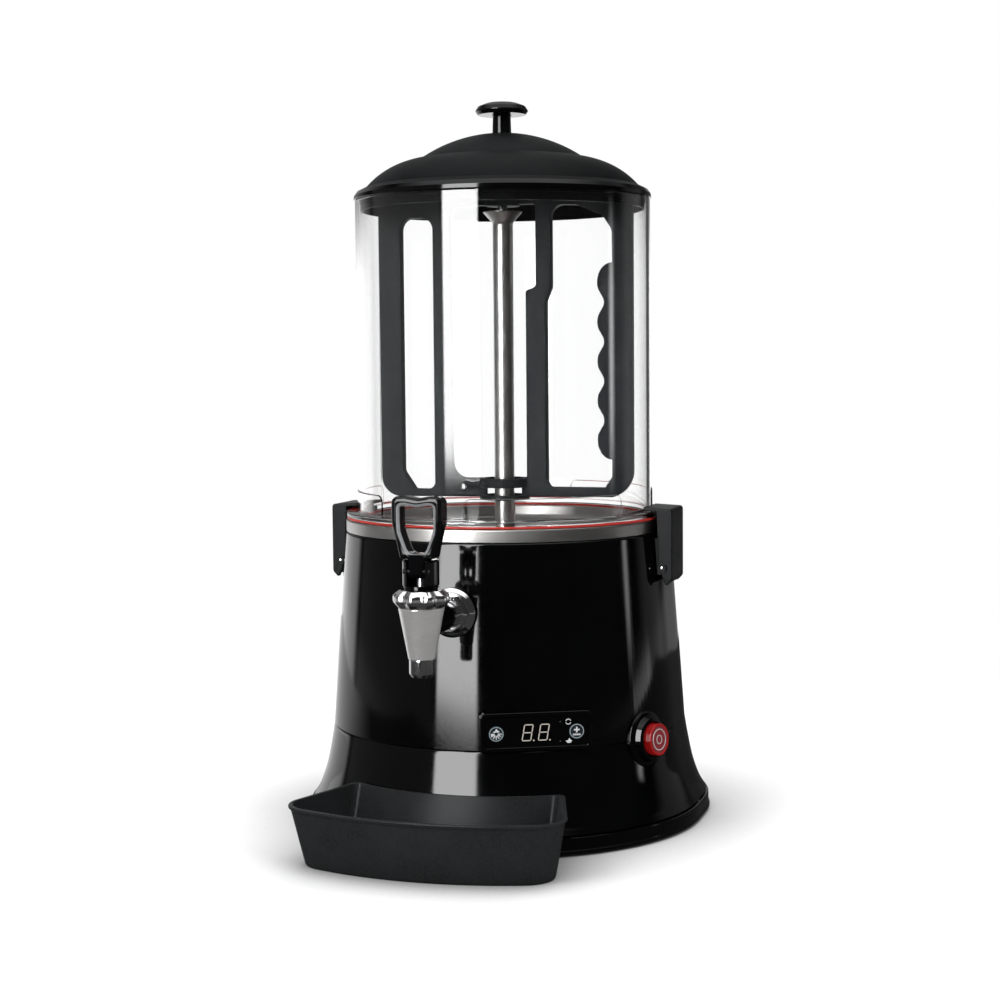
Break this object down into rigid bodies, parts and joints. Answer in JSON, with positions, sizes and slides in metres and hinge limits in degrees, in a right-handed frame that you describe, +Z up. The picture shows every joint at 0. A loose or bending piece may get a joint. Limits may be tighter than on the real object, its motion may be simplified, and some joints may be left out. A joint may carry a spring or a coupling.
{
  "type": "hot chocolate dispenser",
  "caption": "Countertop hot chocolate dispenser: clear stirred tank with domed lid on a tapered warming body, with lever tap, control panel, round power switch, side latches and drip tray.",
  "frame": {"origin": "centre of the footprint on the surface it stands on, tray included", "axes": "+Z up, -Y towards the tap and tray, +X towards the power switch"},
  "size_m": [0.32, 0.4, 0.57],
  "materials": {
    "black_gloss": "glossy black moulding",
    "black_satin": "satin black moulding",
    "clear_tank": "clear polycarbonate",
    "red_seal": "red silicone",
    "black_rubber": "matte",
    "polished_steel": "polished stainless steel",
    "brushed_steel": "brushed stainless steel",
    "brass": "sintered bronze",
    "cast_aluminium": "cast",
    "painted_motor": "enamel",
    "circuit_board": "laminate",
    "smoked_window": "smoked",
    "red_translucent": "translucent red",
    "white_key": "backlit"
  },
  "bodies": {
    "machine": {"upper_shell": "black_gloss", "lower_skirt": "black_gloss", "base_plate": "black_gloss", "rubber_feet": "black_rubber", "base_screws": "brushed_steel", "cable_gland": "black_satin", "product_basin": "polished_steel", "water_jacket": "brushed_steel", "heating_element": "brushed_steel", "temperature_probe": "brushed_steel", "outlet_pipe": "brushed_steel", "tank": "clear_tank", "tank_gasket": "red_seal", "center_tube": "brushed_steel", "shaft_bush_upper": "brass", "shaft_bush_lower": "brass", "shaft_seal": "black_rubber", "gearbox": "cast_aluminium", "motor": "painted_motor", "motor_bracket": "brushed_steel", "tap_body": "brushed_steel", "tap_nozzle": "polished_steel", "tap_collar": "polished_steel", "tap_yoke": "black_gloss", "tap_pin": "brushed_steel", "tap_shank": "brushed_steel", "tap_escutcheon": "polished_steel", "tap_washer": "black_rubber", "tap_nut": "polished_steel", "latch_bracket_right": "black_satin", "latch_bracket_left": "black_satin", "latch_pin_right": "polished_steel", "latch_pin_left": "polished_steel", "control_panel_frame": "black_gloss", "display_window": "smoked_window", "display_module": "black_satin", "control_board": "circuit_board", "tact_switches": "black_satin", "power_bezel": "black_gloss", "power_switch_body": "black_satin"},
    "lid": {"lid": "black_satin", "lid_skirt": "black_satin", "lid_knob": "black_satin", "lid_knob_screw": "brushed_steel"},
    "stirrer_drive": {"stirrer": "black_satin", "drive_shaft": "brushed_steel", "shaft_coupling": "cast_aluminium", "gearbox_shaft": "brushed_steel"},
    "tap_lever": {"tap_handle": "black_gloss"},
    "tap_valve": {"tap_stem": "brushed_steel", "tap_seat_cup": "red_seal", "tap_spring": "polished_steel"},
    "right_latch": {"latch_right": "black_satin"},
    "left_latch": {"latch_left": "black_satin"},
    "left_key": {"key_left": "white_key"},
    "right_key": {"key_right": "white_key"},
    "power_key": {"power_button": "red_translucent"},
    "tray": {"drip_tray": "black_gloss"}
  },
  "joints": [
    {"name": "lid_lift", "type": "slide", "parent": "machine", "child": "lid", "axis": [0, 0, 1], "range_m": [0, 0.12]},
    {"name": "stirrer_spin", "type": "hinge", "parent": "machine", "child": "stirrer_drive", "pos_m": [0, 0.037, 0.127], "axis": [0, 0, 1], "continuous": true},
    {"name": "tap_handle_tilt", "type": "hinge", "parent": "machine", "child": "tap_lever", "pos_m": [0, -0.173, 0.218], "axis": [1, 0, 0], "range_deg": [0, 35], "stiffness_Nm_per_rad": 0.05, "springref_deg": -17.19},
    {"name": "tap_stem_lift", "type": "slide", "parent": "machine", "child": "tap_valve", "axis": [0, 0, 1], "range_m": [0, 0.0057], "stiffness_N_per_m": 10, "springref_m": -0.002, "deforming": ["tap_spring"]},
    {"name": "right_latch_swing", "type": "hinge", "parent": "machine", "child": "right_latch", "pos_m": [0.1343, 0.037, 0.2032], "axis": [0, 1, 0], "range_deg": [0, 15], "stiffness_Nm_per_rad": 0.05, "springref_deg": -11.46},
    {"name": "left_latch_swing", "type": "hinge", "parent": "machine", "child": "left_latch", "pos_m": [-0.1343, 0.037, 0.2032], "axis": [0, -1, 0], "range_deg": [0, 15], "stiffness_Nm_per_rad": 0.05, "springref_deg": -11.46},
    {"name": "left_key_press", "type": "slide", "parent": "machine", "child": "left_key", "axis": [-0.4431, 0.8965, 0], "range_m": [0, 0.0008], "stiffness_N_per_m": 600, "springref_m": -0.0005},
    {"name": "right_key_press", "type": "slide", "parent": "machine", "child": "right_key", "axis": [-0.4431, 0.8965, 0], "range_m": [0, 0.0008], "stiffness_N_per_m": 600, "springref_m": -0.0005},
    {"name": "power_button_press", "type": "slide", "parent": "machine", "child": "power_key", "axis": [-0.9174, 0.3894, -0.0819], "range_m": [0, 0.003], "stiffness_N_per_m": 800, "springref_m": -0.001},
    {"name": "drip_tray_slide", "type": "slide", "parent": "machine", "child": "tray", "axis": [0, -1, 0], "range_m": [0, 0.08]}
  ],
  "couplings": [
    {"joint": "tap_stem_lift", "follows": "tap_handle_tilt", "m_per_rad": 0.009167}
  ]
}
